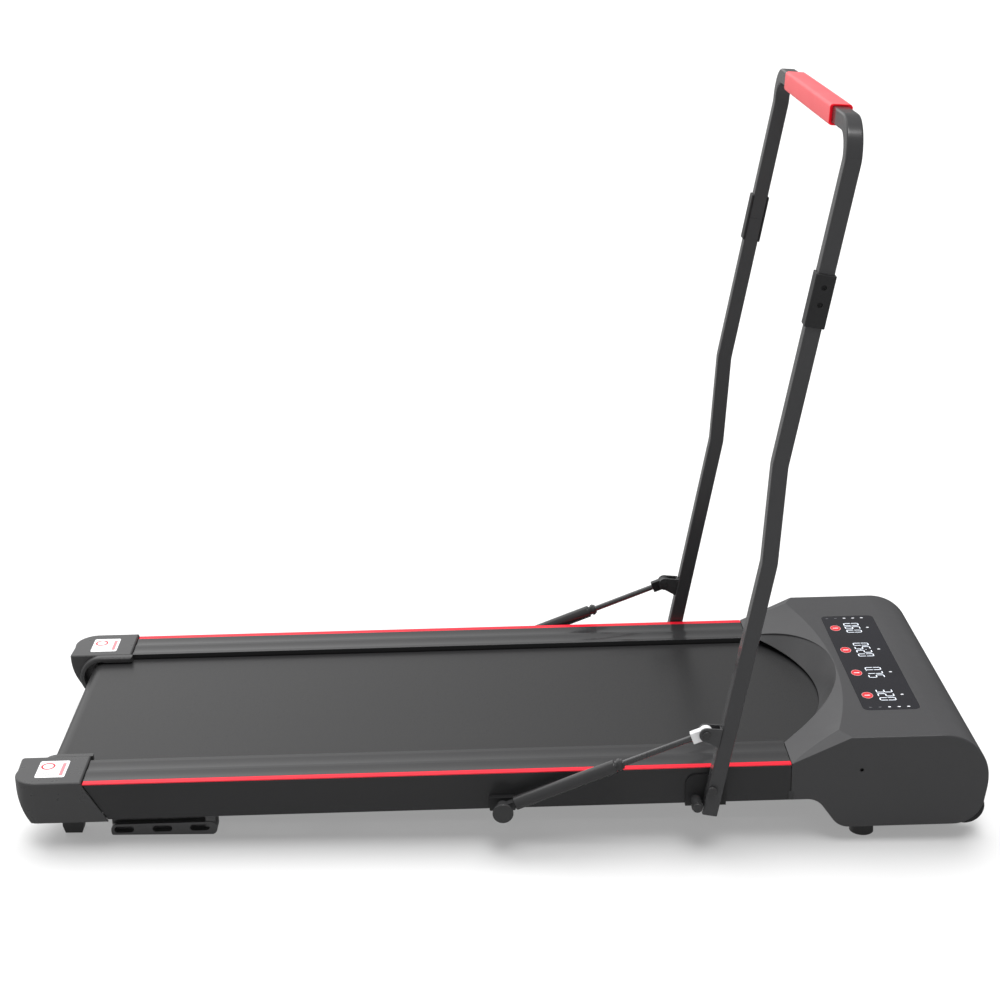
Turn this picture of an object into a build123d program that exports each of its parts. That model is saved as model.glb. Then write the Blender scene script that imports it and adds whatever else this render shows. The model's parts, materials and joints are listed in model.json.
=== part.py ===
from build123d import *
import os
from math import acos, atan2, cos, degrees, hypot, radians, sin, tan

# Folding walking-pad treadmill: a flat motorised deck with a motor hood at the front and a U-shaped
# handrail that folds down over the belt on two gas struts. All lengths are in millimetres.
#
# The deck is modelled level, in "deck axes": X runs forward from the rear end of the foot rails,
# Y to the user's left, Z up from the old floor of the side frames. place() then tips it nose-up by
# INCLINE, stands it on its feet and centres it, which gives the row frame that is written out.

# ---------------------------------------------------------------- driving dimensions
INCLINE = 1.28            # degrees that the deck rises towards the front
FLOOR_AT_REAR = -5.0      # height of the floor under X = 0, in deck axes
DECK_HALF_WIDTH = 236.0
RAIL_LENGTH = 925.0       # foot rails, from the rear caps to the motor hood
HOOD_SEAM = 0.8           # gap between the rails' ends and the hood
RAIL_TOP = 92.0
RAIL_INNER = 168.5        # inner wall of a foot rail, beside the belt
FRAME_BOTTOM = 40.0
SKIRT_WALL = 2.5
STRIPE_WIDTH = 9.2
STRIPE_THICKNESS = 1.4

BELT_TOP = 85.0
BELT_HALF_WIDTH = 166.0
BELT_THICKNESS = 1.6
ROLLER_RADIUS = 18.0
RUN_GAP = 0.3             # left between parts that move past each other
BEARING_GAP = 0.05        # radial clearance of a shaft in its bearing
REAR_ROLLER_X = -40.0
FRONT_ROLLER_X = 1015.0
BOARD_THICKNESS = 12.0

FRAME_INNER = 180.0       # steel side member, inside the foot rail's skirt
FRAME_OUTER = 228.0
FRAME_LOW = 44.5
FRAME_HIGH = 83.0
FRAME_FRONT = 1150.0
STEEL_WALL = 2.0

CAP_REAR = -92.0
CAP_TOP = 95.5
CAP_BOTTOM = 38.0
CAP_OUTER = 238.5
CAP_INNER = 162.0
CAP_COLLAR = 152.0        # the collar that closes the belt's end reaches in to here
CAP_WALL = 2.5
CAP_END_PLATE = 167.2     # plate that closes the cap beside the belt's edge

HOOD_TOP = 128.0
HOOD_NOSE = 1185.0
HOOD_WALL = 2.5
SCOOP_X = 818.5           # axis of the round scoop where the belt goes in
SCOOP_TOP_RADIUS = 204.0
LIP_REAR = (940.0, 94.3)  # the scoop's lip falls forward in a plane from here, X and Z
LIP_FRONT = (999.5, 87.6)
LIP_HALF_WIDTH = 156.0
THROAT_Z = 88.8           # head room of the belt behind the lip
CREASE_HALF_WIDTH = 260.0 # the crease of the hood's top curves back from its middle to its sides
CREASE_SIDE_X = 971.3
CREASE_MIDDLE_X = 1023.0
HOOD_SCREW = (1017.0, 80.5)
WINDOW_REAR = 1033.7
WINDOW_FRONT = 1110.6
WINDOW_HALF_WIDTH = 158.0
WINDOW_THICKNESS = 1.2
WINDOW_CORNER = 9.0

TUBE = 20.0               # square tube of the handrail
TUBE_WALL = 1.5
TUBE_CORNER = 2.5
RAIL_OUTSIDE = 259.6      # outer face of the handrail tube
TUBE_Y = RAIL_OUTSIDE - TUBE / 2
RAIL_FOOT = (815.3, 33.0) # centre of the tube's lower end, X and Z
LEAN = 11.15              # degrees that the long runs lean forward
STAND = 4.1               # degrees that the short runs lean forward
LOWER_RUN = 355.4         # foot to the first bend
MIDDLE_RUN = 128.7        # between the two lower bends
UPPER_RUN = 376.6         # second bend to the top bend
CROSSBAR_Z = 918.0        # centre of the cross bar
BEND_RADIUS = 60.0        # of the shallow bends, on the centre line
CORNER_RADIUS = 35.0      # of the two top corners, on the centre line
JOINT_Z = 715.5           # where the lower uprights meet the upper handrail
SLEEVE_LENGTH = 65.0
SLEEVE_WALL = 2.5
GRIP_HALF_LENGTH = 160.0
GRIP_WIDTH = 28.0
GRIP_HEIGHT = 26.0

PIVOT = (818.0, 69.5)     # handrail pivot, X and Z
FOLD_ANGLE = 97.0         # degrees from standing to folded over the deck
STOP = (799.0, 46.0)      # stop bolt that the upright leans back on
CLEVIS = (809.0, 150.5)   # strut's upper pin when the handrail stands
STRUT_FOOT = (546.0, 50.0)
STRUT_Y = 254.1
EYE_THICKNESS = 9.0
CYLINDER_RADIUS = 9.0
ROD_RADIUS = 4.0
PIN_RADIUS = 4.0
KNOB_RADIUS = 13.6
CLEVIS_INNER = 246.2      # inner and outer faces of the clevis
CLEVIS_OUTER = 262.0
STRAP_FACE = 263.4        # inner face of the strap that carries the knob

MOTOR_X = 1106.0
MOTOR_Z = 53.0
MOTOR_RADIUS = 38.0
PULLEY_Y = 173.0          # middle of the drive belt
ROLLER_PULLEY_RADIUS = 27.0
MOTOR_PULLEY_RADIUS = 13.5
DRIVE_BELT_WIDTH = 7.0
DRIVE_BELT_THICKNESS = 2.4

WHEEL_X = 1167.0
WHEEL_Z = 4.0
WHEEL_RADIUS = 24.5
WHEEL_Y = 197.0
WHEEL_WIDTH = 16.0
WHEEL_AXLE_RADIUS = 4.0
CHEEK_INNER = 184.5       # inner and outer faces of the wheel's bracket
CHEEK_OUTER = 209.5
CHEEK_WALL = 3.0

AXLE_Z = BELT_TOP - BELT_THICKNESS - RUN_GAP - ROLLER_RADIUS
BELT_INNER = ROLLER_RADIUS + RUN_GAP
BOARD_TOP = BELT_TOP - BELT_THICKNESS - 0.2
STRUT_LENGTH = hypot(CLEVIS[0] - STRUT_FOOT[0], CLEVIS[1] - STRUT_FOOT[1])
STRUT_ANGLE = degrees(atan2(CLEVIS[1] - STRUT_FOOT[1], CLEVIS[0] - STRUT_FOOT[0]))
SIDES = (("left", 1), ("right", -1))


# ---------------------------------------------------------------- small helpers
def block(x0, x1, y0, y1, z0, z1):
    """A box between two corners."""
    return Pos((x0 + x1) / 2, (y0 + y1) / 2, (z0 + z1) / 2) * Box(x1 - x0, y1 - y0, z1 - z0)


def polygon(*points):
    """A straight-sided outline, facing up whichever way round its corners are listed."""
    shape = Polygon(*points, align=None)
    if shape.faces()[0].normal_at().Z > 0:
        return shape
    return Polygon(*reversed(points), align=None)


def across(outline, y0, y1):
    """An outline drawn in X and Z, made solid from y0 to y1."""
    return extrude(Plane.XZ.offset(-y1) * outline, y1 - y0, dir=(0, -1, 0))


def along(outline, x0, x1):
    """An outline drawn in Y and Z, made solid from x0 to x1."""
    return extrude(Plane.YZ.offset(x0) * outline, x1 - x0)


def disc(x, z, radius, y0, y1):
    """A round bar along Y."""
    return across(Pos(x, z) * Circle(radius), y0, y1)


def rect(x0, x1, z0, z1, corner=0.0):
    """A rectangle between two corners, in the sketch plane."""
    width, height = x1 - x0, z1 - z0
    shape = RectangleRounded(width, height, corner) if corner else Rectangle(width, height)
    return Pos((x0 + x1) / 2, (z0 + z1) / 2) * shape


def on_side(part, sign):
    """The left-hand part as it is, or its mirror image for the right."""
    return part if sign > 0 else mirror(part, about=Plane.XZ)


def both(part):
    """A left-hand part and its mirror image, as two solids."""
    return Compound(children=[*part.solids(), *mirror(part, about=Plane.XZ).solids()])


def group(*parts):
    """Separate solids of one node."""
    return Compound(children=[solid for part in parts for solid in part.solids()])


def loop_outline(x1, z1, r1, x2, z2, r2):
    """The outline of a belt pulled tight round two discs."""
    span = hypot(x2 - x1, z2 - z1)
    heading = atan2(z2 - z1, x2 - x1)
    spread = acos((r1 - r2) / span)
    corners = []
    for turn in (heading + spread, heading - spread):
        corners.append((turn, x1 + r1 * cos(turn), z1 + r1 * sin(turn)))
        corners.append((turn, x2 + r2 * cos(turn), z2 + r2 * sin(turn)))
    (_, ax, az), (_, bx, bz), (_, dx, dz), (_, cx, cz) = corners
    middle = polygon((ax, az), (bx, bz), (cx, cz), (dx, dz))
    return Pos(x1, z1) * Circle(r1) + Pos(x2, z2) * Circle(r2) + middle


def point_up(start, angle, length):
    """The point a length away from start, leaning forward by angle from the vertical."""
    return (start[0] + length * sin(radians(angle)), start[1] + length * cos(radians(angle)))


# ---------------------------------------------------------------- side frame and rails
def foot_rail():
    """Extruded foot rail: grooved top, outer skirt, inner wall and a rebate for the red stripe."""
    top = rect(RAIL_INNER, DECK_HALF_WIDTH, 84.3, RAIL_TOP)
    top -= rect(RAIL_INNER + SKIRT_WALL, DECK_HALF_WIDTH - SKIRT_WALL, 80, RAIL_TOP - 3.2)
    skirt = rect(DECK_HALF_WIDTH - SKIRT_WALL, DECK_HALF_WIDTH, FRAME_BOTTOM, RAIL_TOP)
    foot = rect(DECK_HALF_WIDTH - 12, DECK_HALF_WIDTH, FRAME_BOTTOM, FRAME_BOTTOM + SKIRT_WALL)
    profile = top + skirt + foot
    groove_radius = 76.0
    for groove_y in (187.0, 214.5):
        profile -= Pos(groove_y, RAIL_TOP + groove_radius - 0.8) * Circle(groove_radius)
    profile -= rect(
        DECK_HALF_WIDTH - STRIPE_WIDTH, DECK_HALF_WIDTH + 1, RAIL_TOP - STRIPE_THICKNESS, RAIL_TOP + 1
    )
    rail = along(profile, 0, RAIL_LENGTH - HOOD_SEAM)
    slant = polygon((-1, RAIL_TOP + 1), (0, RAIL_TOP + 1), (31.5, 37), (-1, 37))
    return rail - across(slant, 232, 240)


def rail_stripe():
    """Red strip along the outer top edge of a foot rail."""
    profile = rect(DECK_HALF_WIDTH - STRIPE_WIDTH, DECK_HALF_WIDTH, RAIL_TOP - STRIPE_THICKNESS, RAIL_TOP)
    return along(profile, 1.0, RAIL_LENGTH - HOOD_SEAM)


def side_frame():
    """Steel side member, a rectangular tube with holes for the roller axles."""
    box_section = rect(FRAME_INNER, FRAME_OUTER, FRAME_LOW, FRAME_HIGH, 3.0)
    bore = rect(
        FRAME_INNER + STEEL_WALL, FRAME_OUTER - STEEL_WALL, FRAME_LOW + STEEL_WALL, FRAME_HIGH - STEEL_WALL, 1.5
    )
    member = along(box_section - bore, -70, FRAME_FRONT)
    for roller_x in (REAR_ROLLER_X, FRONT_ROLLER_X):
        member -= disc(roller_x, AXLE_Z, 6.0, FRAME_INNER - 1, FRAME_INNER + 5)
    return member


def wheel_bracket():
    """Bracket under the side member's front end: a top plate and the transport wheel's two cheeks."""
    cheek = Pos(WHEEL_X, WHEEL_Z) * Circle(9) + polygon(
        (WHEEL_X - 9, WHEEL_Z), (WHEEL_X + 9, WHEEL_Z), (FRAME_FRONT, FRAME_LOW), (1115, FRAME_LOW)
    )
    cheek -= Pos(WHEEL_X, WHEEL_Z) * Circle(WHEEL_AXLE_RADIUS)
    bracket = block(1115, FRAME_FRONT, CHEEK_INNER, CHEEK_OUTER, FRAME_LOW - CHEEK_WALL, FRAME_LOW)
    for low in (CHEEK_INNER, CHEEK_OUTER - CHEEK_WALL):
        bracket += across(cheek, low, low + CHEEK_WALL)
    return bracket


def cross_members():
    """Tubes across the frame under the deck board, the rear foot plate and the motor tray."""
    parts = []
    tube = rect(-15, 15, 50, 66, 2.0) - rect(-13.5, 13.5, 51.5, 64.5, 0.8)
    for tube_x in (70, 320, 570, 820, 955):
        parts.append(across(Pos(tube_x, 0) * tube, -FRAME_INNER, FRAME_INNER))
    rear_plate = block(-32, -0.6, -FRAME_OUTER, FRAME_OUTER, 40.5, 43.5)
    tray = block(1046, 1140, -FRAME_INNER, FRAME_INNER, 8.0, 11.0)
    for side in (-1, 1):
        wall = FRAME_INNER * side
        tray += block(1046, 1140, min(wall, wall - 3 * side), max(wall, wall - 3 * side), 8.0, 60.0)
    tray -= disc(MOTOR_X, MOTOR_Z, 20, 170, 190)
    return group(*parts, rear_plate, tray)


def deck_board():
    """Coated board that carries the belt."""
    board = block(22, 975, -164, 164, BOARD_TOP - BOARD_THICKNESS, BOARD_TOP)
    return fillet(board.edges().filter_by(Axis.Y).group_by(Axis.Z)[-1], 4)


def deck_cushions():
    """Rubber blocks between the cross members and the deck board."""
    height = BOARD_TOP - BOARD_THICKNESS - 66
    cushion = Cylinder(11, height)
    places = [(x, y, 66 + height / 2) for x in (70, 320, 570, 820) for y in (-130, 0, 130)]
    return group(*[Pos(*place) * cushion for place in places])


# ---------------------------------------------------------------- rear end caps
def cap_opening(radius, top_z, low_z):
    """Side view of the space that the belt's rear end turns in, open towards the front."""
    return Pos(REAR_ROLLER_X - 5, 62) * Circle(radius) + rect(REAR_ROLLER_X - 5, 60, low_z, top_z)


def rear_cap():
    """Left end cap: a rounded shell on the rail's end, with a collar round the belt's edge."""
    with BuildSketch() as plan_sketch:
        with BuildLine():
            Polyline((-62, CAP_OUTER), (33, CAP_OUTER), (33, CAP_INNER), (CAP_REAR + 5, CAP_INNER))
            ThreePointArc((CAP_REAR + 5, CAP_INNER), (CAP_REAR + 1.5, CAP_INNER + 1.5), (CAP_REAR, CAP_INNER + 5))
            Line((CAP_REAR, CAP_INNER + 5), (CAP_REAR + 1.5, 198))
            ThreePointArc((CAP_REAR + 1.5, 198), (-83, 228), (-62, CAP_OUTER))
        make_face()
    with BuildSketch() as side_sketch:
        with BuildLine():
            Polyline((CAP_REAR, CAP_TOP), (-0.6, CAP_TOP), (-0.6, RAIL_TOP), (30.6, CAP_BOTTOM), (-70, CAP_BOTTOM))
            ThreePointArc((-70, CAP_BOTTOM), (-86.5, 66), (CAP_REAR, CAP_TOP))
        make_face()
    body = extrude(plan_sketch.sketch, 60).moved(Location((0, 0, CAP_BOTTOM - 1)))
    body = body & across(side_sketch.sketch, CAP_INNER - 1, CAP_OUTER + 1)
    rim = body.edges().group_by(Axis.Z)[-1]
    body = fillet(rim, 2.5)
    hollow_plan = offset(plan_sketch.sketch, -CAP_WALL)
    hollow = extrude(hollow_plan, CAP_TOP - CAP_WALL - 20).moved(Location((0, 0, 20)))
    hollow += block(-60, 40, CAP_INNER + CAP_WALL, CAP_OUTER - CAP_WALL, 20, CAP_TOP - CAP_WALL)
    hollow = hollow & across(offset(side_sketch.sketch, -CAP_WALL) + rect(-60, 40, 20, 88), CAP_INNER, CAP_OUTER)
    body -= hollow
    body -= block(-0.6, 60, 100, DECK_HALF_WIDTH - SKIRT_WALL, 20, 120)
    collar = across(cap_opening(33, CAP_TOP - 0.5, 30), CAP_COLLAR, CAP_INNER + 0.5)
    collar = collar & across(rect(-90, 2, CAP_BOTTOM, CAP_TOP), 100, 200)
    collar = fillet(collar.edges().group_by(Axis.Y)[0].filter_by(lambda e: e.center().Z > 60), 4)
    sleeve = across(cap_opening(29, BELT_TOP + 4.5, CAP_BOTTOM), CAP_INNER, CAP_END_PLATE + 1.3)
    cap = body + collar + (sleeve & block(-90, -0.6, 100, 200, CAP_BOTTOM, CAP_TOP))
    cap -= across(cap_opening(26.5, BELT_TOP + 2, 20), 100, CAP_END_PLATE)
    cap -= disc(REAR_ROLLER_X, AXLE_Z, 6.0, CAP_END_PLATE - 1, CAP_END_PLATE + 2)
    cap -= block(-0.6, 60, 100, 172, 20, BELT_TOP + 2)
    cap -= block(-33, 0, 150, 170, 20, 44)
    cap -= block(-71, 0, FRAME_INNER - 0.2, FRAME_OUTER + 0.2, 20, FRAME_HIGH + 0.2)
    return cap.solids().sort_by(SortBy.VOLUME)[-1]


def cap_labels():
    """One plain label on top of each end cap."""
    plate = Pos(-44.5, 198, CAP_TOP) * extrude(RectangleRounded(39, 46, 3), 0.25)
    return both(plate)


# ---------------------------------------------------------------- running belt and rollers
def running_belt():
    """Closed belt round both rollers."""
    outer = loop_outline(
        REAR_ROLLER_X, AXLE_Z, BELT_INNER + BELT_THICKNESS, FRONT_ROLLER_X, AXLE_Z, BELT_INNER + BELT_THICKNESS
    )
    inner = loop_outline(REAR_ROLLER_X, AXLE_Z, BELT_INNER, FRONT_ROLLER_X, AXLE_Z, BELT_INNER)
    return across(outer - inner, -BELT_HALF_WIDTH, BELT_HALF_WIDTH)


def roller(x, half_length):
    """Steel roller shell, bored at each end for its bearings."""
    shell = disc(x, AXLE_Z, ROLLER_RADIUS, -half_length, half_length)
    shell -= disc(x, AXLE_Z, 13.5, -half_length - 1, half_length + 1)
    return shell


def bearings(x, half_length):
    """A pair of bearing rings pressed into a roller's ends."""
    ring = Pos(x, AXLE_Z) * (Circle(13.5) - Circle(5.0 + BEARING_GAP))
    return both(across(ring, half_length - 12, half_length - 3))


def roller_axles():
    """The two fixed axles, with flats pressed into the side members."""
    parts = []
    for x in (REAR_ROLLER_X, FRONT_ROLLER_X):
        axle = disc(x, AXLE_Z, 5.0, -FRAME_INNER - 4, FRAME_INNER + 4)
        parts.append(chamfer(axle.edges().filter_by(GeomType.CIRCLE), 0.8))
    return group(*parts)


def tension_bolts():
    """Hexagon bolts that pull the rear axle back to tighten the belt."""
    bolt_y = 174.2
    head = Plane.YZ.offset(-66) * Pos(bolt_y, AXLE_Z) * RegularPolygon(5.6, 6)
    bolt = extrude(head, 5)
    bolt += Pos(-53.25, bolt_y, AXLE_Z) * Rot(0, 90, 0) * Cylinder(3, 15.5)
    return both(bolt)


# ---------------------------------------------------------------- motor and drive
def roller_pulley():
    """Grooved pulley on the front roller's left end."""
    body = disc(FRONT_ROLLER_X, AXLE_Z, ROLLER_PULLEY_RADIUS, PULLEY_Y - 4.4, PULLEY_Y + 4.4)
    rim = Pos(FRONT_ROLLER_X, AXLE_Z) * (Circle(ROLLER_PULLEY_RADIUS + 1.6) - Circle(20))
    for low in (PULLEY_Y - 5.4, PULLEY_Y + 4.4):
        body += across(rim, low, low + 1.0)
    body += disc(FRONT_ROLLER_X, AXLE_Z, 13.4, 165.8, PULLEY_Y)
    for spoke in range(6):
        angle = radians(60 * spoke)
        body -= disc(FRONT_ROLLER_X + 18 * cos(angle), AXLE_Z + 18 * sin(angle), 4.2, PULLEY_Y - 7, PULLEY_Y + 7)
    return body - disc(FRONT_ROLLER_X, AXLE_Z, 5.0 + BEARING_GAP, 160, 180)


def motor_can():
    """Finned motor housing with two end bells."""
    can = disc(MOTOR_X, MOTOR_Z, MOTOR_RADIUS - 3, 30, 140)
    for fin in range(24):
        can += Pos(MOTOR_X, 85, MOTOR_Z) * Rot(0, 15 * fin, 0) * Pos(0, 0, MOTOR_RADIUS - 3) * Box(2.4, 100, 5)
    for low in (20, 140):
        can += disc(MOTOR_X, MOTOR_Z, MOTOR_RADIUS, low, low + 12)
    return can - disc(MOTOR_X, MOTOR_Z, 6.0, 10, 160)


def motor_bracket():
    """Cradle that bolts the motor down to the tray."""
    cradle = rect(MOTOR_X - 30, MOTOR_X + 30, 11.0, MOTOR_Z - 10) - Pos(MOTOR_X, MOTOR_Z) * Circle(MOTOR_RADIUS)
    parts = [across(cradle, low, low + 6) for low in (23, 143)]
    foot = block(MOTOR_X - 30, MOTOR_X + 30, 29, 143, 11.0, 13.5)
    return parts[0] + parts[1] + foot


def motor_shaft():
    """Rotor shaft with its armature inside the housing."""
    shaft = disc(MOTOR_X, MOTOR_Z, 5.0, 24, PULLEY_Y + 5)
    return chamfer(shaft.edges().filter_by(GeomType.CIRCLE), 0.6)


def motor_pulley():
    """Small grooved pulley with a cooling fan behind it."""
    body = disc(MOTOR_X, MOTOR_Z, MOTOR_PULLEY_RADIUS, PULLEY_Y - 4.4, PULLEY_Y + 4.4)
    for low in (PULLEY_Y - 5.4, PULLEY_Y + 4.4):
        body += disc(MOTOR_X, MOTOR_Z, MOTOR_PULLEY_RADIUS + 1.6, low, low + 1.0)
    hub = disc(MOTOR_X, MOTOR_Z, 9, 155, PULLEY_Y)
    for blade in range(8):
        hub += Pos(MOTOR_X, 160, MOTOR_Z) * Rot(0, 45 * blade, 0) * Pos(0, 0, 17) * Rot(0, 0, 25) * Box(2, 8, 22)
    return (body + hub) - disc(MOTOR_X, MOTOR_Z, 5.0, 150, 180)


def drive_belt():
    """Flat ribbed belt between the two pulleys."""
    inner_roller = ROLLER_PULLEY_RADIUS + RUN_GAP
    inner_motor = MOTOR_PULLEY_RADIUS + RUN_GAP
    inner = loop_outline(FRONT_ROLLER_X, AXLE_Z, inner_roller, MOTOR_X, MOTOR_Z, inner_motor)
    outer = loop_outline(
        FRONT_ROLLER_X, AXLE_Z, inner_roller + DRIVE_BELT_THICKNESS,
        MOTOR_X, MOTOR_Z, inner_motor + DRIVE_BELT_THICKNESS,
    )
    return across(outer - inner, PULLEY_Y - DRIVE_BELT_WIDTH / 2, PULLEY_Y + DRIVE_BELT_WIDTH / 2)


def motor_controller():
    """Controller board on its base plate, with a finned heat sink and capacitors."""
    base = block(1052, 1136, -152, -20, 11.0, 13.0)
    board = block(1056, 1132, -148, -24, 19.0, 20.6)
    pillars = [
        Pos(x, y, 13) * Cylinder(3, 6, align=(Align.CENTER, Align.CENTER, Align.MIN))
        for x in (1060, 1128) for y in (-144, -28)
    ]
    sink = block(1060, 1092, -142, -92, 20.6, 25)
    for fin in range(7):
        sink += block(1060 + 5 * fin, 1062 + 5 * fin, -142, -92, 25, 52)
    tall = Pos(1110, -120, 20.6) * Cylinder(11, 34, align=(Align.CENTER, Align.CENTER, Align.MIN))
    short = Pos(1110, -90, 20.6) * Cylinder(9, 26, align=(Align.CENTER, Align.CENTER, Align.MIN))
    relay = block(1066, 1086, -78, -60, 20.6, 38)
    choke = Pos(1106, -52, 20.6) * Cylinder(13, 15, align=(Align.CENTER, Align.CENTER, Align.MIN))
    choke -= Pos(1106, -52, 20) * Cylinder(6, 40)
    return group(base, board, *pillars, sink, tall, short, relay, choke)


# ---------------------------------------------------------------- motor hood
def hood_outline(inset=0.0):
    """Side view of the hood: flat top, round nose, flat underside and a swept throat at the rear."""
    corners = [
        (900, HOOD_TOP),
        (HOOD_NOSE, HOOD_TOP),
        (HOOD_NOSE, 54),
        (1176, -3.8),
        (990, -3.8),
        (960, FRAME_BOTTOM - 1),
        (900, FRAME_BOTTOM - 1),
    ]
    with BuildSketch() as sketch:
        with BuildLine():
            FilletPolyline(*corners, radius=[64, 80, 40, 26, 26])
            Line(corners[-1], corners[0])
        make_face()
    return offset(sketch.sketch, -inset) if inset else sketch.sketch


def arc_segment(plane, chord_x, half_width, crown_x):
    """A face in the given plane between a straight chord across the hood and an arc in front of it."""
    with BuildSketch(plane) as sketch:
        with BuildLine():
            ThreePointArc((chord_x, -half_width), (crown_x, 0), (chord_x, half_width))
            Line((chord_x, half_width), (chord_x, -half_width))
        make_face()
    return sketch.sketch.faces()[0]


def brow_cut():
    """Room above the slope that rises from the rails' straight end to the curved crease of the top."""
    rise = 1.5
    top_z = RAIL_TOP + rise * (HOOD_TOP - RAIL_TOP)
    corner_x = RAIL_LENGTH + rise * (CREASE_SIDE_X - RAIL_LENGTH)
    crown_x = RAIL_LENGTH + rise * (CREASE_MIDDLE_X - RAIL_LENGTH)
    profiles = []
    for height, side_x, middle_x in ((RAIL_TOP, RAIL_LENGTH, RAIL_LENGTH + 0.01), (top_z, corner_x, crown_x)):
        with BuildSketch(Plane.XY.offset(height)) as sketch:
            with BuildLine():
                ThreePointArc((side_x, -CREASE_HALF_WIDTH), (middle_x, 0), (side_x, CREASE_HALF_WIDTH))
                Polyline(
                    (side_x, CREASE_HALF_WIDTH), (860, CREASE_HALF_WIDTH), (860, -CREASE_HALF_WIDTH),
                    (side_x, -CREASE_HALF_WIDTH),
                )
            make_face()
        profiles.append(sketch.sketch.faces()[0])
    return loft(profiles, ruled=True)


def scoop_cuts(grow):
    """The round scoop's wall from lip to rim, the room above it and the open throat behind it."""
    rim_radius = SCOOP_TOP_RADIUS + grow
    slope = atan2(HOOD_TOP - RAIL_TOP, CREASE_MIDDLE_X - RAIL_LENGTH)
    fall = atan2(LIP_REAR[1] - LIP_FRONT[1], LIP_FRONT[0] - LIP_REAR[0])
    chord_x = LIP_REAR[0]
    reach = chord_x - SCOOP_X
    rim_origin = (chord_x, 0, RAIL_TOP + (chord_x - RAIL_LENGTH) * tan(slope))
    rim_plane = Plane(origin=rim_origin, x_dir=(cos(slope), 0, sin(slope)), z_dir=(-sin(slope), 0, cos(slope)))
    lip_plane = Plane(
        origin=(chord_x, 0, LIP_REAR[1]), x_dir=(cos(fall), 0, -sin(fall)), z_dir=(sin(fall), 0, cos(fall))
    )
    rim = arc_segment(
        rim_plane, 0, (rim_radius ** 2 - reach ** 2) ** 0.5, (rim_radius - reach) / cos(slope)
    )
    lip = arc_segment(lip_plane, 0, LIP_HALF_WIDTH + grow, (LIP_FRONT[0] + grow - chord_x) / cos(fall))
    throat = Pos(SCOOP_X, 0, 100) * Cylinder(rim_radius, 120) & block(890, chord_x, -260, 260, 40, 160)
    return [loft([lip, rim], ruled=True), Solid.extrude(rim, Vector(0, 0, 60)), throat]


def hood_cuts(grow):
    """What is cut from the hood's block, grown by the wall for the cavity's side: scoop, brow, bevels."""
    cuts = [Pos(0, 0, -1.06 * grow) * brow_cut()]
    cuts += [Pos(0, 0, -0.75 * grow) * cut for cut in scoop_cuts(0.75 * grow)]
    for side in (-1, 1):
        corner = Vector(RAIL_LENGTH, side * DECK_HALF_WIDTH, RAIL_TOP)
        crease = Vector(988.8, side * 211.0, HOOD_TOP)
        shoulder = Vector(1003.0, side * DECK_HALF_WIDTH, HOOD_TOP)
        normal = (crease - corner).cross(shoulder - corner).normalized()
        normal = normal if normal.Z > 0 else normal * -1
        bevel = Plane(origin=corner - normal * grow, z_dir=normal)
        wedge = extrude(bevel * Rectangle(400, 400), 60)
        cuts.append(wedge & block(880, 1010, min(side * 180, side * 260), max(side * 180, side * 260), 80, 200))
    return cuts


def motor_hood():
    """Moulded hood: thin shell, open underneath and to the rear."""
    outer = across(hood_outline(), -DECK_HALF_WIDTH, DECK_HALF_WIDTH)
    ends = outer.edges().group_by(Axis.Y)
    outer = fillet(ends[0] + ends[-1], 2.2)
    for cut in hood_cuts(0.0):
        outer -= cut
    outer -= block(890, RAIL_LENGTH, -260, 260, -20, 150)
    inner_half = DECK_HALF_WIDTH - HOOD_WALL
    cavity = across(hood_outline(HOOD_WALL) + rect(890, 960, 45, 125), -inner_half, inner_half)
    for cut in hood_cuts(HOOD_WALL):
        cavity -= cut
    under_lip = polygon(
        (890, FRAME_BOTTOM), (LIP_FRONT[0] + 6, FRAME_BOTTOM), (LIP_FRONT[0] + 6, LIP_FRONT[1]), LIP_FRONT, LIP_REAR,
        (RAIL_LENGTH, THROAT_Z), (890, THROAT_Z),
    )
    cavity += across(under_lip, -inner_half, inner_half)
    shell = outer - cavity
    shell -= across(hood_outline(HOOD_WALL) & rect(890, 1190, -20, 7), -inner_half, inner_half)
    shell -= block(890, 1150, -inner_half, inner_half, -20, 7)
    shell -= block(890, 985, -inner_half, inner_half, 7, 60)
    for side in (-1, 1):
        low, high = sorted((side * 182.4, side * 211.6))
        shell -= block(1130, 1200, low, high, -20, 36)
        low, high = sorted((side * 230.0, side * 240.0))
        shell -= disc(HOOD_SCREW[0], HOOD_SCREW[1], 2.6, low, high)
    pocket = rect(WINDOW_REAR - 0.2, WINDOW_FRONT + 0.2, -WINDOW_HALF_WIDTH - 0.2, WINDOW_HALF_WIDTH + 0.2, WINDOW_CORNER)
    shell -= extrude(Pos(0, 0, HOOD_TOP - WINDOW_THICKNESS) * pocket, 5)
    opening = rect(WINDOW_REAR + 5, WINDOW_FRONT - 5, -WINDOW_HALF_WIDTH + 5, WINDOW_HALF_WIDTH - 5, 3)
    shell -= extrude(Pos(0, 0, HOOD_TOP - 10) * opening, 12)
    shell -= block(1170, 1200, -150.2, -113.8, 30.8, 59.2)
    shell -= block(1170, 1200, -108.2, -87.8, 30.8, 59.2)
    return shell.solids().sort_by(SortBy.VOLUME)[-1]


def belly_pan():
    """Folded underside cover between the hood's side skirts."""
    half = DECK_HALF_WIDTH - HOOD_WALL - 0.3
    sheet = hood_outline() - hood_outline(2.3)
    pan = across(sheet & (rect(940, 1150, -10, 6.8) + rect(940, 984.7, -10, 38)), -half, half)
    for side in (-1, 1):
        low, high = sorted((side * 182.0, side * 212.0))
        pan -= block(1110, 1200, low, high, -20, 40)
        pan -= Pos(1028, side * 200, 0) * Cylinder(6.5, 60)
    return pan.solids().sort_by(SortBy.VOLUME)[-1]


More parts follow.
